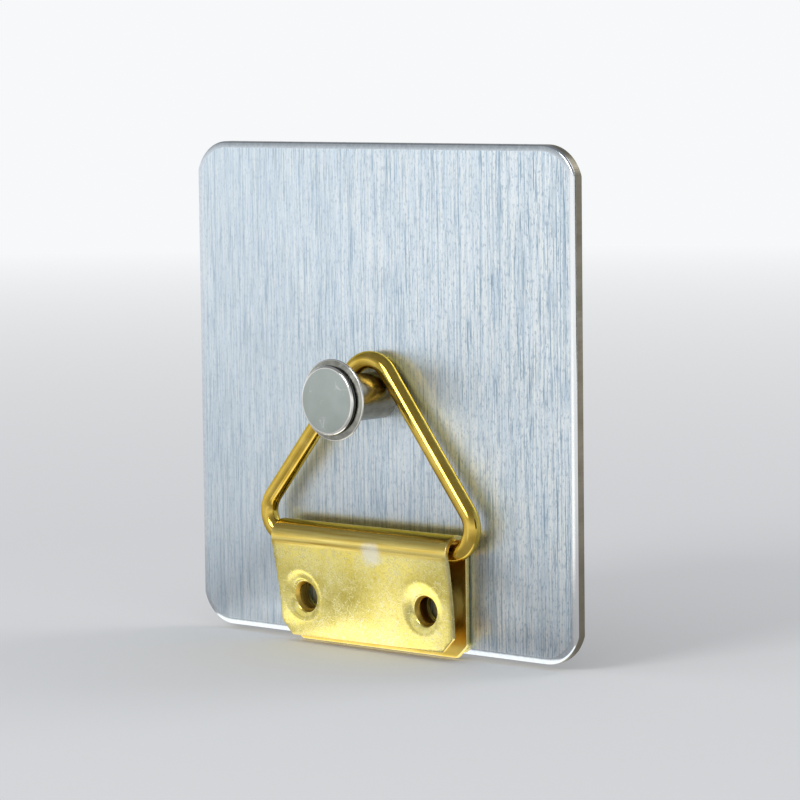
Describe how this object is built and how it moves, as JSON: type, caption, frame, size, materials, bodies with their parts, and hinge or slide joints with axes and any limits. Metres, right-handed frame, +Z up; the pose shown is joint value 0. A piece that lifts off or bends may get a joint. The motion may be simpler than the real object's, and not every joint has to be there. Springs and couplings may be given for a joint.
{
  "type": "adhesive wall hook",
  "caption": "Self-adhesive square metal wall plate with a grooved turned peg, on which a triangular wire ring with a folded screw-on frame hanger hangs and swings.",
  "frame": {"origin": "middle of the adhesive pad's back face, on the wall", "axes": "+Y into the wall, +Z up, +X to the right as seen from the front; the peg's axis lies along Y through the origin"},
  "size_m": [0.06, 0.0113, 0.0604],
  "materials": {
    "pad": "closed-cell adhesive foam, dark grey-brown, matt",
    "plate": "brushed up and down, silver",
    "peg": "polished nickel, with a satin face",
    "screw": "zinc-plated, dull",
    "ring": "brass-plated wire, polished",
    "strap": "brass-plated sheet, polished, with fine hazy scratches"
  },
  "bodies": {
    "wall_plate": {"adhesive_pad": "pad", "face_plate": "plate", "peg": "peg", "peg_screw": "screw"},
    "ring": {"triangle_ring": "ring"},
    "strap": {"hanger_strap": "strap"}
  },
  "joints": [
    {"name": "ring_swing", "type": "hinge", "parent": "wall_plate", "child": "ring", "pos_m": [0, -0.0035, 0], "axis": [0, 1, 0], "range_deg": [-50, 50]},
    {"name": "strap_fold", "type": "hinge", "parent": "ring", "child": "strap", "pos_m": [0, -0.00425, -0.01775], "axis": [-1, 0, 0], "range_deg": [0, 150]}
  ]
}
